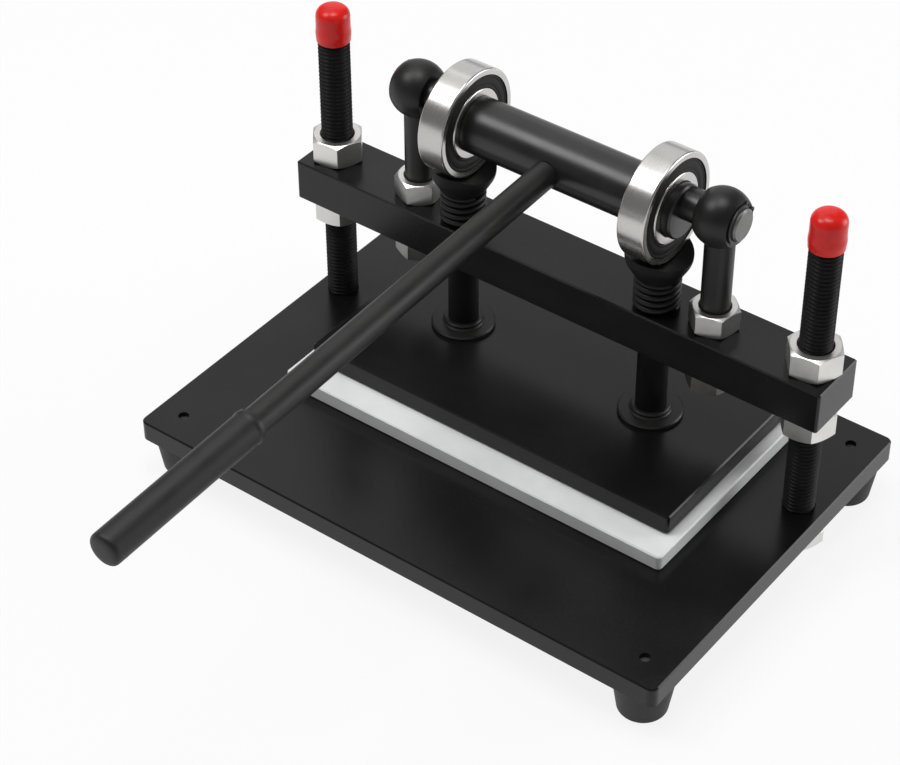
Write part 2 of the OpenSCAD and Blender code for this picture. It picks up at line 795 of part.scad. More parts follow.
base_plate();
foot(-1, -1);  // front_left_foot
foot(1, -1);  // front_right_foot
foot(-1, 1);  // rear_left_foot
foot(1, 1);  // rear_right_foot
foot_screws();
cutting_pad();
column(-1);  // left_column
column(1);  // right_column
column_cap(-1);  // left_column_cap
column_cap(1);  // right_column_cap
column_base_nuts();
cross_beam();
column_top_nuts();
column_lower_nuts();
eyebolt(-1);  // left_eyebolt
eyebolt(1);  // right_eyebolt
eyebolt_top_nuts();
eyebolt_lower_nuts();
return_spring(-1);  // left_return_spring
return_spring(1);  // right_return_spring
eccentric_shaft();
inner_ring(-1);  // left_inner_ring
inner_ring(1);  // right_inner_ring
pin_retaining_rings();
lever_rod();
lever_grip();
outer_ring(-1);  // left_outer_ring
seals(-1);  // left_seals
outer_ring(1);  // right_outer_ring
seals(1);  // right_seals
balls(-1);  // left_balls
cage(-1);  // left_cage
balls(1);  // right_balls
cage(1);  // right_cage
press_plate();
push_post(-1);  // left_push_post
push_post(1);  // right_push_post
post_collar(-1);  // left_post_collar
post_collar(1);  // right_post_collar
post_screws();
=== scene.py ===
"""Looks of a lever press for cutting dies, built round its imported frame.

Lengths are metres in the frame of the part: +Z is up, +X is the operator's right, and the lever
points to -Y.
"""
import logging
from dataclasses import dataclass
from enum import Enum
from math import acos, cos, degrees, pi, radians, sin, sqrt, tau
from typing import NamedTuple

import bmesh
import bpy
from mathutils import Matrix, Vector


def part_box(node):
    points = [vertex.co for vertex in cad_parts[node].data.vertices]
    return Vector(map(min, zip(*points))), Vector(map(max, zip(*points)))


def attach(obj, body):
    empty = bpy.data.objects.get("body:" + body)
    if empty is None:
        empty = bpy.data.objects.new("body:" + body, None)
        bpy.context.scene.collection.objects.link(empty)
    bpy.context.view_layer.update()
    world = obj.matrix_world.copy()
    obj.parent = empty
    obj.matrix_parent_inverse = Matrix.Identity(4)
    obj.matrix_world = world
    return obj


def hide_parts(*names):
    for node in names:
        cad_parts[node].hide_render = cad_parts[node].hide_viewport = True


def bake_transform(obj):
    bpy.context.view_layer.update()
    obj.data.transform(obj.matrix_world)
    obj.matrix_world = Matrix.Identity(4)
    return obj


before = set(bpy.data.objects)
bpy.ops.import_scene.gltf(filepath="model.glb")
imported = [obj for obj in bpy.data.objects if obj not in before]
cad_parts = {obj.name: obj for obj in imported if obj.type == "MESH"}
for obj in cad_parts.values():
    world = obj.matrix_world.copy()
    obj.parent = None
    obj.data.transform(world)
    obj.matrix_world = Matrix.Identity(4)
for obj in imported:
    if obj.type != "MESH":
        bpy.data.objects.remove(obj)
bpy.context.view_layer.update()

LOG = logging.getLogger("lever_press")
MM = 0.001
ON_AXIS = 0.001 * MM
ORIGIN = Vector()
SIDES = {"left": -1, "right": 1}
Colour = tuple[float, float, float]
Profile = list[tuple[float, float]]
Socket = bpy.types.NodeSocket


class Grain(Enum):
    """How the fine marks of a finish run over the surface."""

    EVEN = "even"
    AROUND_X = "around_x"
    AROUND_Y = "around_y"


class Layers(NamedTuple):
    """The sockets that a finish feeds into its shader."""

    colour: Socket
    roughness: Socket
    height: Socket


class NodeBench:
    """The node tree of one material, with short calls to add and join nodes."""

    NOISE_LOW = 0.3
    NOISE_HIGH = 0.7

    def __init__(self, name: str) -> None:
        """Starts an empty material.

        Args:
            name: The material's name.
        """
        self.material = bpy.data.materials.new(name)
        self.material.use_nodes = True
        self.tree = self.material.node_tree
        self.tree.nodes.clear()

    def node(self, kind: str, **settings: object) -> bpy.types.Node:
        """Adds a node.

        Args:
            kind: Blender's name of the node type.
            settings: Values for the node's own properties.

        Returns:
            The new node.
        """
        made = self.tree.nodes.new(kind)
        for key, value in settings.items():
            setattr(made, key, value)
        return made

    def join(self, source: Socket, target: Socket) -> None:
        """Links an output to an input."""
        self.tree.links.new(source, target)

    def place(self) -> Socket:
        """Gives the coordinates of the piece itself."""
        return self.node("ShaderNodeTexCoord").outputs["Object"]

    def maths(self, operation: str, first: Socket, second: Socket | float = 0.0) -> Socket:
        """Adds a step of arithmetic.

        Args:
            operation: Blender's name of the step.
            first: The first value.
            second: The second value, linked or plain, where the step has one.

        Returns:
            The result.
        """
        made = self.node("ShaderNodeMath", operation=operation)
        self.join(first, made.inputs[0])
        if isinstance(second, float):
            made.inputs[1].default_value = second
        else:
            self.join(second, made.inputs[1])
        return made.outputs["Value"]

    def noise(self, coordinates: Socket, size: float, detail: float) -> Socket:
        """Adds a noise texture.

        Args:
            coordinates: Where the texture is read.
            size: Size of its blotches.
            detail: How many finer layers lie over them.

        Returns:
            The noise, from 0 to 1.
        """
        texture = self.node("ShaderNodeTexNoise")
        texture.inputs["Scale"].default_value = 1 / size
        texture.inputs["Detail"].default_value = detail
        self.join(coordinates, texture.inputs["Vector"])
        return texture.outputs["Fac"]

    def span(self, value: Socket, low: float, high: float) -> Socket:
        """Spreads the middle of a noise over a range.

        Args:
            value: A noise from 0 to 1.
            low: The result at the noise's dark end.
            high: The result at its bright end.

        Returns:
            The spread value.
        """
        spread = self.node("ShaderNodeMapRange")
        spread.inputs["From Min"].default_value = self.NOISE_LOW
        spread.inputs["From Max"].default_value = self.NOISE_HIGH
        spread.inputs["To Min"].default_value = low
        spread.inputs["To Max"].default_value = high
        self.join(value, spread.inputs["Value"])
        return spread.outputs["Result"]

    def blend(self, share: Socket, first: Socket | Colour, second: Socket | Colour) -> Socket:
        """Mixes two colours.

        Args:
            share: Share of the second colour.
            first: The first colour, linked or plain.
            second: The second colour, linked or plain.

        Returns:
            The mixed colour.
        """
        mix = self.node("ShaderNodeMix", data_type="RGBA")
        self.join(share, mix.inputs["Factor"])
        for name, colour in (("A", first), ("B", second)):
            if isinstance(colour, tuple):
                mix.inputs[name].default_value = (*colour, 1)
            else:
                self.join(colour, mix.inputs[name])
        return mix.outputs["Result"]

    def turned(self, coordinates: Socket, grain: Grain, centre: Vector) -> Socket:
        """Bends coordinates round an axis, so that marks run as rings about it.

        Args:
            coordinates: Plain coordinates.
            grain: The direction of the axis.
            centre: A point on the axis.

        Returns:
            Coordinates of height along the axis and distance from it.
        """
        keep = {Grain.AROUND_X: (0, 1, 1), Grain.AROUND_Y: (1, 0, 1)}[grain]
        shifted = self.node("ShaderNodeVectorMath", operation="SUBTRACT")
        shifted.inputs[1].default_value = centre
        self.join(coordinates, shifted.inputs[0])
        across = self.node("ShaderNodeVectorMath", operation="MULTIPLY")
        across.inputs[1].default_value = keep
        self.join(shifted.outputs["Vector"], across.inputs[0])
        distance = self.node("ShaderNodeVectorMath", operation="LENGTH")
        self.join(across.outputs["Vector"], distance.inputs[0])
        along = self.node("ShaderNodeVectorMath", operation="DOT_PRODUCT")
        along.inputs[1].default_value = [1 - part for part in keep]
        self.join(shifted.outputs["Vector"], along.inputs[0])
        rings = self.node("ShaderNodeCombineXYZ")
        self.join(along.outputs["Value"], rings.inputs["X"])
        self.join(distance.outputs["Value"], rings.inputs["Y"])
        return rings.outputs["Vector"]

    def close(self, shader: Socket) -> bpy.types.Material:
        """Ends the tree with a shader.

        Args:
            shader: The shader that covers the surface.

        Returns:
            The finished material.
        """
        output = self.node("ShaderNodeOutputMaterial")
        self.join(shader, output.inputs["Surface"])
        return self.material


@dataclass(frozen=True)
class Finish:
    """A surface finish with blotches of tone and gloss, and a fine grain.

    Attributes:
        name: The finish's name.
        colour: Colour where the surface is darkest.
        worn: Colour where handling has lightened it.
        gloss: Least and greatest roughness.
        blotch: Size of the blotches.
        grain_size: Width of the fine marks.
        grain_depth: Depth of the fine marks.
        grain: How the fine marks run.
        metallic: 1 for bare metal, 0 for paint, rubber and plastic.
        specular: Strength of the surface reflection, 0.5 for a plain one.
        coat: Weight of a clear layer on top.
        coat_roughness: Roughness of that layer.
    """

    name: str
    colour: Colour
    worn: Colour
    gloss: tuple[float, float]
    blotch: float
    grain_size: float
    grain_depth: float
    grain: Grain = Grain.EVEN
    metallic: float = 0.0
    specular: float = 0.5
    coat: float = 0.0
    coat_roughness: float = 0.1

    BLOTCH_DETAIL = 5
    GRAIN_DETAIL = 3
    GRAIN_SHARE = 0.5

    def layers(self, bench: NodeBench, centre: Vector) -> Layers:
        """Draws the finish's colour, roughness and height.

        Args:
            bench: The tree that gets the nodes.
            centre: A point on the axis that turned marks run round.

        Returns:
            The three sockets.
        """
        place = bench.place()
        marks = place if self.grain is Grain.EVEN else bench.turned(place, self.grain, centre)
        blotches = bench.noise(place, self.blotch, self.BLOTCH_DETAIL)
        grain = bench.noise(marks, self.grain_size, self.GRAIN_DETAIL)
        colour = bench.blend(bench.span(blotches, 0, 1), self.colour, self.worn)
        fine = bench.maths("MULTIPLY", grain, self.GRAIN_SHARE)
        broad = bench.maths("MULTIPLY", blotches, 1 - self.GRAIN_SHARE)
        roughness = bench.span(bench.maths("ADD", fine, broad), *self.gloss)
        return Layers(colour, roughness, grain)

    def surface(self, bench: NodeBench, layers: Layers) -> bpy.types.Node:
        """Adds the shader that shows some layers.

        Args:
            bench: The tree that gets the nodes.
            layers: Colour, roughness and height.

        Returns:
            The shader's node.
        """
        shader = bench.node("ShaderNodeBsdfPrincipled")
        shader.inputs["Metallic"].default_value = self.metallic
        shader.inputs["Specular IOR Level"].default_value = self.specular
        shader.inputs["Coat Weight"].default_value = self.coat
        shader.inputs["Coat Roughness"].default_value = self.coat_roughness
        bench.join(layers.colour, shader.inputs["Base Color"])
        bench.join(layers.roughness, shader.inputs["Roughness"])
        bump = bench.node("ShaderNodeBump")
        bump.inputs["Distance"].default_value = self.grain_depth
        bench.join(layers.height, bump.inputs["Height"])
        bench.join(bump.outputs["Normal"], shader.inputs["Normal"])
        return shader

    def material(self, centre: Vector = ORIGIN) -> bpy.types.Material:
        """Builds the finish as a material.

        Args:
            centre: A point on the axis that turned marks run round.

        Returns:
            The material.
        """
        bench = NodeBench(self.name)
        shader = self.surface(bench, self.layers(bench, centre))
        return bench.close(shader.outputs["BSDF"])

    def tipped(self, tip: "Finish", reach: float, centre: Vector) -> bpy.types.Material:
        """Builds a material with another finish on both ends of a shaft.

        Args:
            tip: The finish of the ends.
            reach: Distance from the middle plane to where the ends start.
            centre: A point on the axis that turned marks run round.

        Returns:
            The material.
        """
        bench = NodeBench(f"{self.name}_tipped")
        split = bench.node("ShaderNodeSeparateXYZ")
        bench.join(bench.place(), split.inputs["Vector"])
        ends = bench.maths("GREATER_THAN", bench.maths("ABSOLUTE", split.outputs["X"]), reach)
        body_layers = self.layers(bench, centre)
        tip_layers = tip.layers(bench, centre)
        roughness = bench.node("ShaderNodeMix", data_type="FLOAT")
        bench.join(ends, roughness.inputs["Factor"])
        bench.join(body_layers.roughness, roughness.inputs["A"])
        bench.join(tip_layers.roughness, roughness.inputs["B"])
        both = Layers(
            bench.blend(ends, body_layers.colour, tip_layers.colour),
            roughness.outputs["Result"], body_layers.height)
        shader = self.surface(bench, both)
        bench.join(bench.maths("MULTIPLY", ends, tip.metallic), shader.inputs["Metallic"])
        return bench.close(shader.outputs["BSDF"])


PLATE_BLACK = Finish(
    "plate_black", colour=(0.0045, 0.0045, 0.005), worn=(0.009, 0.009, 0.0095), gloss=(0.2, 0.3),
    specular=0.28, blotch=60 * MM, grain_size=0.4 * MM, grain_depth=0.005 * MM)
OXIDE_BLACK = Finish(
    "oxide_black", colour=(0.006, 0.006, 0.006), worn=(0.013, 0.013, 0.012), gloss=(0.34, 0.48),
    specular=0.35, blotch=20 * MM, grain_size=0.7 * MM, grain_depth=0.01 * MM)
POST_BLACK = Finish(
    "post_black", colour=(0.003, 0.003, 0.003), worn=(0.007, 0.007, 0.0068), gloss=(0.46, 0.6),
    specular=0.18, blotch=15 * MM, grain_size=0.6 * MM, grain_depth=0.006 * MM)
SHAFT_BLACK = Finish(
    "shaft_black", colour=(0.006, 0.006, 0.006), worn=(0.012, 0.012, 0.0115), gloss=(0.26, 0.35),
    specular=0.5, blotch=20 * MM, grain=Grain.AROUND_X, grain_size=0.5 * MM, grain_depth=0.004 * MM)
THREAD_BLACK = Finish(
    "thread_black", colour=(0.004, 0.004, 0.004), worn=(0.009, 0.009, 0.009), gloss=(0.44, 0.58),
    specular=0.17, blotch=10 * MM, grain_size=0.6 * MM, grain_depth=0.01 * MM)
LEVER_BLACK = Finish(
    "lever_black", colour=(0.008, 0.008, 0.0077), worn=(0.015, 0.015, 0.014), gloss=(0.4, 0.52),
    specular=0.4, blotch=30 * MM, grain=Grain.AROUND_Y, grain_size=0.8 * MM, grain_depth=0.006 * MM)
SPRING_BLACK = Finish(
    "spring_black", colour=(0.005, 0.005, 0.0048), worn=(0.011, 0.0105, 0.01), gloss=(0.4, 0.54),
    specular=0.25, blotch=8 * MM, grain_size=0.5 * MM, grain_depth=0.01 * MM)
ZINC = Finish(
    "zinc_plate", colour=(0.66, 0.655, 0.63), worn=(0.76, 0.755, 0.73), gloss=(0.3, 0.42),
    metallic=1.0, blotch=12 * MM, grain_size=0.6 * MM, grain_depth=0.002 * MM)
# Bright zinc with painted shade: the lower eyebolt nuts sit in the beam's shadow, so their colour is
# darkened well below plain zinc.
SHADE_PAINTED_ZINC = Finish(
    "shade_painted_zinc", colour=(0.25, 0.245, 0.235), worn=(0.33, 0.325, 0.31), gloss=(0.34, 0.46),
    metallic=1.0, blotch=8 * MM, grain_size=0.6 * MM, grain_depth=0.002 * MM)
# Zinc with painted shade: the foot screws sit down in the base plate's holes, so their colour is darkened
# to the holes' shadow.
HOLE_SHADE_ZINC = Finish(
    "hole_shade_zinc", colour=(0.07, 0.07, 0.068), worn=(0.13, 0.13, 0.125), gloss=(0.42, 0.6),
    metallic=0.8, blotch=4 * MM, grain_size=0.6 * MM, grain_depth=0.01 * MM)
RING_STEEL = Finish(
    "ring_steel", colour=(0.5, 0.485, 0.47), worn=(0.6, 0.585, 0.57), gloss=(0.2, 0.3),
    metallic=1.0, blotch=30 * MM, grain=Grain.AROUND_X, grain_size=0.3 * MM, grain_depth=0.003 * MM)
BALL_STEEL = Finish(
    "ball_steel", colour=(0.66, 0.66, 0.66), worn=(0.72, 0.72, 0.72), gloss=(0.06, 0.12),
    metallic=1.0, blotch=10 * MM, grain_size=1 * MM, grain_depth=0.001 * MM)
CAGE_STEEL = Finish(
    "cage_steel", colour=(0.34, 0.31, 0.25), worn=(0.46, 0.42, 0.34), gloss=(0.3, 0.45),
    metallic=1.0, blotch=10 * MM, grain_size=0.6 * MM, grain_depth=0.006 * MM)
CLIP_STEEL = Finish(
    "clip_steel", colour=(0.02, 0.02, 0.021), worn=(0.045, 0.045, 0.046), gloss=(0.34, 0.46),
    metallic=0.5, blotch=6 * MM, grain_size=0.4 * MM, grain_depth=0.006 * MM)
TURNED_STEEL = Finish(
    "turned_steel", colour=(0.15, 0.15, 0.15), worn=(0.21, 0.21, 0.208), gloss=(0.36, 0.48),
    metallic=0.8, blotch=6 * MM, grain=Grain.AROUND_X, grain_size=0.4 * MM, grain_depth=0.004 * MM)
SEAL_RUBBER = Finish(
    "seal_rubber", colour=(0.008, 0.008, 0.008), worn=(0.02, 0.02, 0.0195), gloss=(0.55, 0.7),
    specular=0.22, blotch=6 * MM, grain=Grain.AROUND_X, grain_size=0.7 * MM, grain_depth=0.02 * MM)
FOOT_RUBBER = Finish(
    "foot_rubber", colour=(0.009, 0.009, 0.0095), worn=(0.018, 0.018, 0.018), gloss=(0.5, 0.68),
    specular=0.4, blotch=10 * MM, grain_size=0.8 * MM, grain_depth=0.03 * MM)
GRIP_RUBBER = Finish(
    "grip_rubber", colour=(0.006, 0.006, 0.006), worn=(0.013, 0.013, 0.013), gloss=(0.42, 0.58),
    specular=0.4, blotch=12 * MM, grain_size=0.9 * MM, grain_depth=0.04 * MM)
CAP_VINYL = Finish(
    "cap_vinyl", colour=(0.62, 0.007, 0.005), worn=(0.78, 0.013, 0.008), gloss=(0.3, 0.42),
    specular=0.2, blotch=12 * MM, grain_size=4 * MM, grain_depth=0.02 * MM, coat=0.25,
    coat_roughness=0.14)
BOARD_WHITE = Finish(
    "board_white", colour=(0.79, 0.795, 0.795), worn=(0.87, 0.875, 0.875), gloss=(0.42, 0.6),
    specular=0.4, blotch=18 * MM, grain_size=1.1 * MM, grain_depth=0.04 * MM)

FINISH_OF: dict[Finish, tuple[str, ...]] = {
    PLATE_BLACK: ("base_plate", "cross_beam", "press_plate"),
    OXIDE_BLACK: (
        "left_eyebolt", "right_eyebolt", "left_post_collar", "right_post_collar", "post_screws"),
    POST_BLACK: ("left_push_post", "right_push_post"),
    LEVER_BLACK: ("lever_rod",),
    ZINC: ("column_top_nuts", "column_lower_nuts", "column_base_nuts", "eyebolt_top_nuts"),
    # The lower eyebolt nuts get zinc darkened with painted shade.
    SHADE_PAINTED_ZINC: ("eyebolt_lower_nuts",),
    # The foot screws get zinc darkened with painted shade.
    HOLE_SHADE_ZINC: ("foot_screws",),
    RING_STEEL: ("left_outer_ring", "right_outer_ring"),
    BALL_STEEL: ("left_balls", "right_balls"),
    CAGE_STEEL: ("left_cage", "right_cage"),
    CLIP_STEEL: ("pin_retaining_rings",),
    FOOT_RUBBER: ("front_left_foot", "front_right_foot", "rear_left_foot", "rear_right_foot"),
    BOARD_WHITE: ("cutting_pad",),
}


def middle(node: str) -> Vector:
    """Gives the middle of a CAD node's box."""
    low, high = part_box(node)
    return (low + high) / 2


def dress(piece: bpy.types.Object, material: bpy.types.Material) -> None:
    """Gives a piece one material."""
    piece.data.materials.clear()
    piece.data.materials.append(material)


def make_piece(name: str, points: list, faces: list, sharp: float = radians(40)) -> bpy.types.Object:
    """Makes a smooth mesh with sharp edges where it bends hard.

    Args:
        name: The piece's name.
        points: Its vertices.
        faces: Its faces, as lists of vertex numbers.
        sharp: Bend from which an edge is sharp.

    Returns:
        The new object.
    """
    mesh = bpy.data.meshes.new(name)
    mesh.from_pydata(points, [], faces)
    shell = bmesh.new()
    shell.from_mesh(mesh)
    bmesh.ops.recalc_face_normals(shell, faces=shell.faces)
    shell.to_mesh(mesh)
    shell.free()
    mesh.polygons.foreach_set("use_smooth", [True] * len(mesh.polygons))
    mesh.set_sharp_from_angle(angle=sharp)
    mesh.validate()
    piece = bpy.data.objects.new(name, mesh)
    bpy.context.scene.collection.objects.link(piece)
    return piece


def arc(centre: tuple[float, float], radius: float, start: float, end: float, steps: int) -> Profile:
    """Gives points along an arc in a profile.

    Args:
        centre: Its centre, as distance from the axis and height.
        radius: Its radius.
        start: Angle of its first point, in degrees.
        end: Angle of its last point, in degrees.
        steps: Number of straight stretches.

    Returns:
        The points.
    """
    turns = [radians(start + (end - start) * k / steps) for k in range(steps + 1)]
    return [(centre[0] + radius * cos(t), centre[1] + radius * sin(t)) for t in turns]


def revolve(name: str, profile: Profile, place: Matrix, loop: bool, segments: int = 72) -> bpy.types.Object:
    """Turns a profile about Z and sets the result in place.

    Args:
        name: The piece's name.
        profile: Points as distance from the axis and height.
        place: Where the axis and its zero height go.
        loop: True for a closed profile, False for one that starts and ends on the axis.
        segments: Number of stretches round the axis.

    Returns:
        The new object.
    """
    points: list[Vector] = []
    rings: list[list[int]] = []
    for radius, height in profile:
        count = 1 if radius < ON_AXIS else segments
        rings.append([len(points) + k for k in range(count)])
        for k in range(count):
            turn = tau * k / segments
            points.append(place @ Vector((radius * cos(turn), radius * sin(turn), height)))
    pairs = list(zip(rings, rings[1:] + rings[:1] if loop else rings[1:]))
    faces: list[list[int]] = []
    for low, high in pairs:
        for k in range(segments):
            corners = [low[k % len(low)], low[(k + 1) % len(low)],
                       high[(k + 1) % len(high)], high[k % len(high)]]
            face = list(dict.fromkeys(corners))
            if len(face) > 2:
                faces.append(face)
    return make_piece(name, points, faces)


def enlist(piece: bpy.types.Object, body: str, slot: str, *nodes: str) -> None:
    """Sets a piece on a body in place of CAD nodes.

    Args:
        piece: The piece.
        body: The body that carries it.
        slot: Name of a material slot; not used.
        nodes: The CAD nodes that it stands for.
    """
    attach(piece, body)
    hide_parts(*nodes)
    LOG.info("%s rides on %s for %s", piece.name, body, ", ".join(nodes))


@dataclass
class ThreadedColumns:
    """The two columns, threaded from end to end.

    Attributes:
        pitch: Rise of the thread in one turn.
        depth: Depth of the thread.
        chamfer: Chamfer on the ends.
        segments: Stretches round the column.
        rows: Rings of points in one turn's rise.
        sharp: Bend from which an edge of the thread is sharp.
    """

    pitch: float = 2.5 * MM
    depth: float = 1.15 * MM
    chamfer: float = 2.5 * MM
    segments: int = 40
    rows: int = 8
    sharp: float = radians(75)

    def radius(self, crest: float, turn: float, height: float, to_end: float) -> float:
        """Gives the thread's radius at a point.

        Args:
            crest: Radius of the thread's crest.
            turn: Share of a turn round the column.
            height: Height up the column.
            to_end: Distance to the nearer end.

        Returns:
            The radius there.
        """
        wave = (1 - cos(tau * (height / self.pitch - turn))) / 2
        thread = crest - self.depth * sqrt(wave)
        return min(thread, crest - self.chamfer + to_end)

    def build(self, side: str) -> bpy.types.Object:
        """Makes one column in place of its CAD node.

        Args:
            side: "left" or "right".

        Returns:
            The column.
        """
        node = f"{side}_column"
        low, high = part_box(node)
        centre = middle(node)
        crest = (high.x - low.x) / 2
        length = high.z - low.z
        count = round(length / self.pitch * self.rows)
        points: list[tuple] = []
        for row in range(count + 1):
            height = length * row / count
            for k in range(self.segments):
                turn = k / self.segments
                reach = self.radius(crest, turn, height, min(height, length - height))
                points.append((centre.x + reach * cos(tau * turn), centre.y + reach * sin(tau * turn),
                               low.z + height))
        ring = range(self.segments)
        faces = [
            [row * self.segments + k, row * self.segments + (k + 1) % self.segments,
             (row + 1) * self.segments + (k + 1) % self.segments, (row + 1) * self.segments + k]
            for row in range(count) for k in ring]
        faces.append(list(reversed(ring)))
        faces.append([count * self.segments + k for k in ring])
        column = make_piece(f"{side}_threaded_column", points, faces, self.sharp)
        enlist(column, "frame", "black_steel", node)
        return column

    def dress_all(self) -> None:
        """Makes both columns and blackens them."""
        black = THREAD_BLACK.material()
        for side in SIDES:
            dress(self.build(side), black)


@dataclass(frozen=True)
class Sleeve:
    """A closed soft sleeve with a bead near its mouth, pushed over the end of a rod.

    Attributes:
        bead: How far the bead stands out.
        bead_height: Height of the bead from the mouth.
        end_height: Height of the rounded closed end.
        wall_end: Thickness of the closed end.
        relief: Chamfer at the bore's closed end, like the rod's own.
        squareness: How square the closed end is: 2 for an ellipse, more for a flatter one.
        play: Gap between the sleeve's bore and the rod.
        steps: Stretches in the bead and in the rounded end.
    """

    bead: float
    bead_height: float
    end_height: float
    wall_end: float
    relief: float
    squareness: float
    play: float = 0.05 * MM
    steps: int = 12

    def profile(self, rod: float, outer: float, length: float) -> Profile:
        """Draws the sleeve's half section, from the bore's end to the outer end.

        Args:
            rod: Radius of the rod inside.
            outer: Radius of the bead, the widest place.
            length: Length of the sleeve.

        Returns:
            The section, with the mouth at zero height.
        """
        bore = rod + self.play
        body = outer - self.bead
        shares = [k / self.steps for k in range(self.steps + 1)]
        bead = [(body + self.bead * sin(pi * share) ** 2, self.bead_height * share) for share in shares]
        power = 2 / self.squareness
        corner = [
            (body * cos(share * pi / 2) ** power,
             length - self.end_height * (1 - sin(share * pi / 2) ** power))
            for share in shares[:-1]]
        bottom = length - self.wall_end
        chamfer = [(0, bottom), (bore - self.relief, bottom), (bore, bottom - self.relief)]
        return [*chamfer, (bore, 0), *bead, *corner, (0, length)]


@dataclass
class ColumnCaps:
    """The two dipped vinyl caps on the columns.

    Attributes:
        shape: The caps' form.
    """

    shape: Sleeve = Sleeve(
        bead=0.3 * MM, bead_height=9 * MM, end_height=6.5 * MM, wall_end=1.8 * MM, relief=2.5 * MM,
        squareness=2.4)

    def dress_all(self) -> None:
        """Makes both caps in place of their CAD nodes."""
        vinyl = CAP_VINYL.material()
        for side in SIDES:
            node = f"{side}_column_cap"
            low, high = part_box(node)
            column_low, column_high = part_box(f"{side}_column")
            column_r = (column_high.x - column_low.x) / 2
            profile = self.shape.profile(column_r, (high.x - low.x) / 2, high.z - low.z)
            centre = middle(node)
            place = Matrix.Translation((centre.x, centre.y, low.z))
            cap = revolve(f"{side}_vinyl_cap", profile, place, loop=False)
            dress(cap, vinyl)
            enlist(cap, "frame", "cap_red", node)


@dataclass
class ReturnSprings:
    """The two coil springs between the beam and the saddle heads.

    Attributes:
        wire: Diameter of the wire.
        gap: Gap between the turns.
        seat: Gap at each end.
        rings: Rings of points in a turn.
        sides: Points in a ring.
        dead: Share of a turn that lies flat, half of it at each end.
    """

    wire: float = 3.4 * MM
    gap: float = 0.7 * MM
    seat: float = 0.1 * MM
    rings: int = 40
    sides: int = 12
    dead: float = 0.5

    def build(self, side: str) -> bpy.types.Object:
        """Makes one spring in place of its CAD node.

        Args:
            side: "left" or "right".

        Returns:
            The spring.
        """
        node = f"{side}_return_spring"
        low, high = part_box(node)
        centre = middle(node)
        thick = self.wire / 2
        reach = (high.x - low.x) / 2 - thick
        start = low.z + self.seat + thick
        climb = high.z - low.z - self.wire - 2 * self.seat
        turns = climb / (self.wire + self.gap) + self.dead
        steps = round(turns * self.rings)
        points: list[Vector] = []
        for step in range(steps + 1):
            turn = turns * step / steps
            share = min(max((turn - self.dead / 2) / (turns - self.dead), 0), 1)
            out = Vector((cos(tau * turn), sin(tau * turn), 0))
            core = Vector((centre.x, centre.y, start + climb * share)) + out * reach
            for corner in range(self.sides):
                angle = tau * corner / self.sides
                points.append(core + out * thick * cos(angle) + Vector((0, 0, thick * sin(angle))))
        faces = [
            [step * self.sides + corner, (step + 1) * self.sides + corner,
             (step + 1) * self.sides + (corner + 1) % self.sides,
             step * self.sides + (corner + 1) % self.sides]
            for step in range(steps) for corner in range(self.sides)]
        faces.append(list(range(self.sides)))
        faces.append([steps * self.sides + corner for corner in reversed(range(self.sides))])
        spring = make_piece(f"{side}_coil_spring", points, faces)
        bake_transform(spring)
        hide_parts(node)
        LOG.info("%s stretches from beam to press", spring.name)
        return spring

    def dress_all(self) -> None:
        """Makes both springs and blackens them."""
        black = SPRING_BLACK.material()
        for side in SIDES:
            dress(self.build(side), black)


@dataclass
class InnerRings:
    """The inner rings of both bearings, with rounded edges and a track for the balls.

    Attributes:
        bore: Radius of the bore.
        play: Gap between the balls and their track.
        edge: Radius of the outer edges.
        chamfer: Chamfer of the bore.
        steps: Stretches in an edge and in half the track.
    """

    bore: float = 15 * MM
    play: float = 0.05 * MM
    edge: float = 0.9 * MM
    chamfer: float = 0.5 * MM
    steps: int = 6

    def profile(self, outer: float, ball: float, pitch: float, half: float) -> Profile:
        """Draws a ring's closed section.

        Args:
            outer: Outer radius.
            ball: Radius of a ball.
            pitch: Distance of the balls' centres from the axis.
            half: Half the ring's width.

        Returns:
            The section, with the balls' centres at zero height.
        """
        track = ball + self.play
        rim = (outer - self.edge, half - self.edge)
        reach = degrees(acos((pitch - outer) / track))
        return [
            (self.bore, self.chamfer - half), (self.bore + self.chamfer, -half),
            *arc((rim[0], -rim[1]), self.edge, -90, 0, self.steps),
            *arc((pitch, 0), track, 180 + reach, 180 - reach, 2 * self.steps),
            *arc(rim, self.edge, 0, 90, self.steps),
            (self.bore + self.chamfer, half), (self.bore, half - self.chamfer)]

    def dress_all(self) -> None:
        """Makes both rings in place of their CAD nodes."""
        for side in SIDES:
            node = f"{side}_inner_ring"
            low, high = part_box(node)
            outer_low, outer_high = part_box(f"{side}_outer_ring")
            balls_low, balls_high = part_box(f"{side}_balls")
            centre = middle(node)
            ball = (balls_high.x - balls_low.x) / 2
            pitch = (self.bore + (outer_high.z - outer_low.z) / 2) / 2
            profile = self.profile((high.z - low.z) / 2, ball, pitch, (high.x - low.x) / 2)
            place = Matrix.Translation(centre) @ Matrix.Rotation(pi / 2, 4, "Y")
            ring = revolve(f"{side}_rounded_inner_ring", profile, place, loop=True)
            dress(ring, RING_STEEL.material(centre))
            enlist(ring, "crank", "bearing_steel", node)


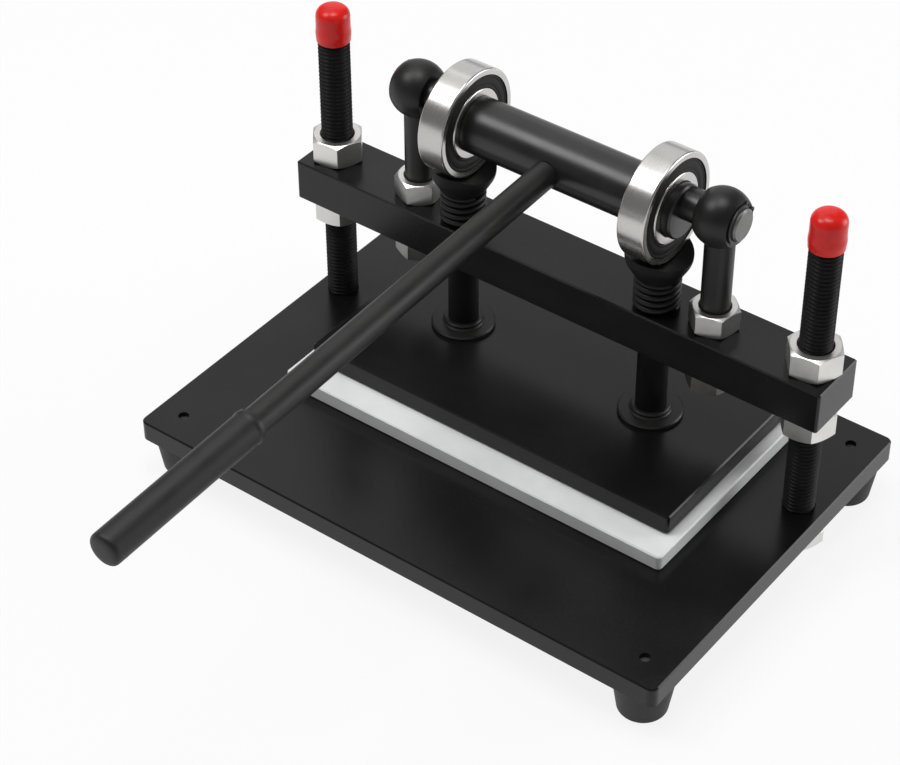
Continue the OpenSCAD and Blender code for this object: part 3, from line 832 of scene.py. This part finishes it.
@dataclass
class BearingSeals:
    """The moulded seals in the faces of both bearings.

    Attributes:
        thick: Thickness of a seal.
        lip: Width of the lips at the inner and the outer ring.
        ridge: Width of the raised band.
        groove: Depth of the groove on each side of the band, and width of the slope into it.
        band_drop: How far the band lies below the seal's face.
        lip_drop: How far the lip at the inner ring lies below the seal's face.
        inset: Gap at the inner edge.
    """

    thick: float = 1.6 * MM
    lip: float = 1.2 * MM
    ridge: float = 3.2 * MM
    groove: float = 0.3 * MM
    band_drop: float = 0.1 * MM
    lip_drop: float = 0.075 * MM
    inset: float = 0.05 * MM

    def profile(self, inner: float, outer: float) -> Profile:
        """Draws a seal's closed section.

        Args:
            inner: Inner radius.
            outer: Outer radius.

        Returns:
            The section, with its outer face at zero height and its back below.
        """
        mid = (inner + outer) / 2
        low, high = mid - self.ridge / 2, mid + self.ridge / 2
        sunk = -self.groove
        return [
            (inner, -self.thick), (outer, -self.thick), (outer, sunk), (outer - self.lip / 2, 0),
            (outer - self.lip, 0), (high + self.groove, sunk), (high, -self.band_drop),
            (low, -self.band_drop), (low - self.groove, sunk), (inner + self.lip, sunk),
            (inner + self.lip / 2, -self.lip_drop), (inner, sunk)]

    def dress_all(self) -> None:
        """Makes the two seals of each bearing in place of their CAD node."""
        for side, sign in SIDES.items():
            node = f"{side}_seals"
            low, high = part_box(node)
            ring_low, ring_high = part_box(f"{side}_inner_ring")
            centre = middle(f"{side}_inner_ring")
            inner = (ring_high.z - ring_low.z) / 2 + self.inset
            outer = (high.z - low.z) / 2
            rubber = SEAL_RUBBER.material(centre)
            for face, toward in (("inside", -sign), ("outside", sign)):
                x = high.x if toward > 0 else low.x
                aim = Matrix.Rotation(toward * pi / 2, 4, "Y")
                place = Matrix.Translation((x, centre.y, centre.z)) @ aim
                seal = revolve(f"{side}_{face}_seal", self.profile(inner, outer), place, loop=True)
                dress(seal, rubber)
                enlist(seal, f"{side}_roller", "seal_rubber", node)


@dataclass
class LeverGrip:
    """The rubber sleeve on the end of the lever.

    Attributes:
        shape: The sleeve's form.
        tilt: Slope of the lever below level.
    """

    shape: Sleeve = Sleeve(
        bead=0.35 * MM, bead_height=5 * MM, end_height=4 * MM, wall_end=4 * MM, relief=0.5 * MM,
        squareness=3.6)
    tilt: float = radians(2)

    def dress_all(self) -> None:
        """Makes the sleeve in place of its CAD node."""
        low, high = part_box("lever_grip")
        rod_low, rod_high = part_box("lever_rod")
        outer = (high.x - low.x) / 2
        length = (high.y - low.y - 2 * outer * sin(self.tilt)) / cos(self.tilt)
        profile = self.shape.profile((rod_high.x - rod_low.x) / 2, outer, length)
        lean = Matrix.Rotation(pi / 2 + self.tilt, 4, "X")
        place = Matrix.Translation(middle("lever_grip")) @ lean @ Matrix.Translation((0, 0, -length / 2))
        grip = revolve("rubber_hand_grip", profile, place, loop=False)
        dress(grip, GRIP_RUBBER.material())
        enlist(grip, "crank", "grip_rubber", "lever_grip")


@dataclass
class PhotoView:
    """The camera, at the viewing angle of the photograph.

    Attributes:
        lens: Focal length for a picture 36 mm wide, in mm.
        place: Camera from the middle of the base plate's top.
        azimuth: Turn of the view to the operator's right.
        drop: Slope of the view below level.
        roll: Turn of the picture.
        far: Distance to which the camera sees.
    """

    lens: float = 105.3
    place: tuple[float, float, float] = (0.6301, -0.8830, 0.9500)
    azimuth: float = radians(37.38)
    drop: float = radians(40.19)
    roll: float = radians(-0.35)
    far: float = 50.0

    def build(self) -> None:
        """Makes the camera and looks through it."""
        data = bpy.data.cameras.new("photo_camera")
        data.lens = self.lens
        data.sensor_fit = "HORIZONTAL"
        data.clip_end = self.far
        camera = bpy.data.objects.new("photo_camera", data)
        bpy.context.scene.collection.objects.link(camera)
        low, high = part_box("base_plate")
        base = Vector(((low.x + high.x) / 2, (low.y + high.y) / 2, high.z))
        aim = Matrix.Rotation(self.azimuth, 4, "Z") @ Matrix.Rotation(pi / 2 - self.drop, 4, "X")
        spin = Matrix.Rotation(self.roll, 4, "Z")
        camera.matrix_world = Matrix.Translation(base + Vector(self.place)) @ aim @ spin
        bpy.context.scene.camera = camera


@dataclass(frozen=True)
class SoftBox:
    """A square studio lamp.

    Attributes:
        name: The lamp's name.
        place: Its middle.
        target: The point that it faces.
        size: Its side.
        power: Its power in watts.
    """

    name: str
    place: tuple[float, float, float]
    target: tuple[float, float, float]
    size: float
    power: float

    def build(self) -> None:
        """Hangs the lamp."""
        data = bpy.data.lights.new(self.name, "AREA")
        data.size = self.size
        data.energy = self.power
        lamp = bpy.data.objects.new(self.name, data)
        bpy.context.scene.collection.objects.link(lamp)
        aim = Vector(self.target) - Vector(self.place)
        turn = aim.to_track_quat("-Z", "Y").to_matrix().to_4x4()
        lamp.matrix_world = Matrix.Translation(self.place) @ turn


@dataclass
class Studio:
    """Floor, lamps and sky.

    Attributes:
        floor_size: Side of the floor.
        floor_tone: Tone of the floor.
        floor_glow: Brightness of the plain white that the camera sees on it.
        shadow_share: Share of the floor's own shading that the camera sees.
        sky_level: Brightness of the sky near the horizon.
        sky_top: Brightness of the sky overhead.
        sky_fade: Height at which the sky reaches its overhead brightness.
        lamps: The lamps.
    """

    floor_size: float = 60.0
    floor_tone: float = 0.86
    floor_glow: float = 1.0
    shadow_share: float = 0.14
    sky_level: float = 0.3
    sky_top: float = 0.26
    sky_fade: float = 0.8
    lamps: tuple[SoftBox, ...] = (
        SoftBox("front_left_softbox", (-0.99, -0.6, 1.95), (0, 0.1, 0.15), 0.9, 18),
        SoftBox("top_softbox", (0, 0.1, 2.0), (0, 0.1, 0), 0.8, 14),
        SoftBox("left_softbox", (-1.0, 0.55, 2.0), (-0.1, 0.1, 0.1), 1.2, 3.6),
        SoftBox("back_left_softbox", (-1.1, 1.7, 1.25), (-0.1, 0.1, 0.1), 1.7, 6.5),
        SoftBox("back_right_softbox", (1.1, 1.15, 0.45), (0.1, 0.1, 0.1), 0.8, 10),
    )

    def floor_material(self) -> bpy.types.Material:
        """Makes the floor's white, which the camera and reflections see almost plain.

        Returns:
            The material.
        """
        bench = NodeBench("studio_white")
        matte = bench.node("ShaderNodeBsdfDiffuse")
        matte.inputs["Color"].default_value = (self.floor_tone,) * 3 + (1,)
        glow = bench.node("ShaderNodeEmission")
        glow.inputs["Strength"].default_value = self.floor_glow
        path = bench.node("ShaderNodeLightPath")
        seen = bench.maths("MAXIMUM", path.outputs["Is Camera Ray"], path.outputs["Is Glossy Ray"])
        clear = bench.maths("MAXIMUM", seen, path.outputs["Is Transmission Ray"])
        mix = bench.node("ShaderNodeMixShader")
        bench.join(bench.maths("MULTIPLY", clear, 1 - self.shadow_share), mix.inputs["Fac"])
        bench.join(matte.outputs["BSDF"], mix.inputs[1])
        bench.join(glow.outputs["Emission"], mix.inputs[2])
        return bench.close(mix.outputs["Shader"])

    def build_floor(self) -> None:
        """Lays the floor under the feet."""
        half = self.floor_size / 2
        corners = [(-half, -half, 0), (half, -half, 0), (half, half, 0), (-half, half, 0)]
        floor = make_piece("studio_floor", corners, [[0, 1, 2, 3]])
        dress(floor, self.floor_material())

    def build_sky(self) -> None:
        """Fills the room with soft light that changes with height."""
        world = bpy.data.worlds.new("studio_sky")
        bpy.context.scene.world = world
        world.use_nodes = True
        tree = world.node_tree
        tree.nodes.clear()
        place = tree.nodes.new("ShaderNodeTexCoord")
        split = tree.nodes.new("ShaderNodeSeparateXYZ")
        tree.links.new(place.outputs["Generated"], split.inputs["Vector"])
        fade = tree.nodes.new("ShaderNodeMapRange")
        fade.inputs["From Max"].default_value = self.sky_fade
        fade.inputs["To Min"].default_value = self.sky_level
        fade.inputs["To Max"].default_value = self.sky_top
        tree.links.new(split.outputs["Z"], fade.inputs["Value"])
        sky = tree.nodes.new("ShaderNodeBackground")
        tree.links.new(fade.outputs["Result"], sky.inputs["Strength"])
        output = tree.nodes.new("ShaderNodeOutputWorld")
        tree.links.new(sky.outputs["Background"], output.inputs["Surface"])

    def build(self) -> None:
        """Sets up the whole studio."""
        self.build_floor()
        self.build_sky()
        for lamp in self.lamps:
            lamp.build()
        bpy.context.scene.view_settings.view_transform = "Standard"


def dress_nodes() -> None:
    """Gives each CAD node that stays in view its finish."""
    for finish, nodes in FINISH_OF.items():
        material = finish.material(middle(nodes[0]))
        for node in nodes:
            dress(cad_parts[node], material)
        LOG.info("%s on %s", finish.name, ", ".join(nodes))
    ring_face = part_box("pin_retaining_rings")[1].x
    shaft = SHAFT_BLACK.tipped(TURNED_STEEL, ring_face, middle("pin_retaining_rings"))
    dress(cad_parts["eccentric_shaft"], shaft)
    LOG.info("%s with %s ends on eccentric_shaft", SHAFT_BLACK.name, TURNED_STEEL.name)


def main() -> None:
    """Builds the camera, the studio, the finishes and the detailed pieces."""
    logging.basicConfig(level=logging.INFO, format="%(message)s")
    PhotoView().build()
    Studio().build()
    dress_nodes()
    assemblies = (
        ThreadedColumns(), ColumnCaps(), ReturnSprings(), InnerRings(), BearingSeals(), LeverGrip())
    for assembly in assemblies:
        assembly.dress_all()


if __name__ == "__main__":
    main()
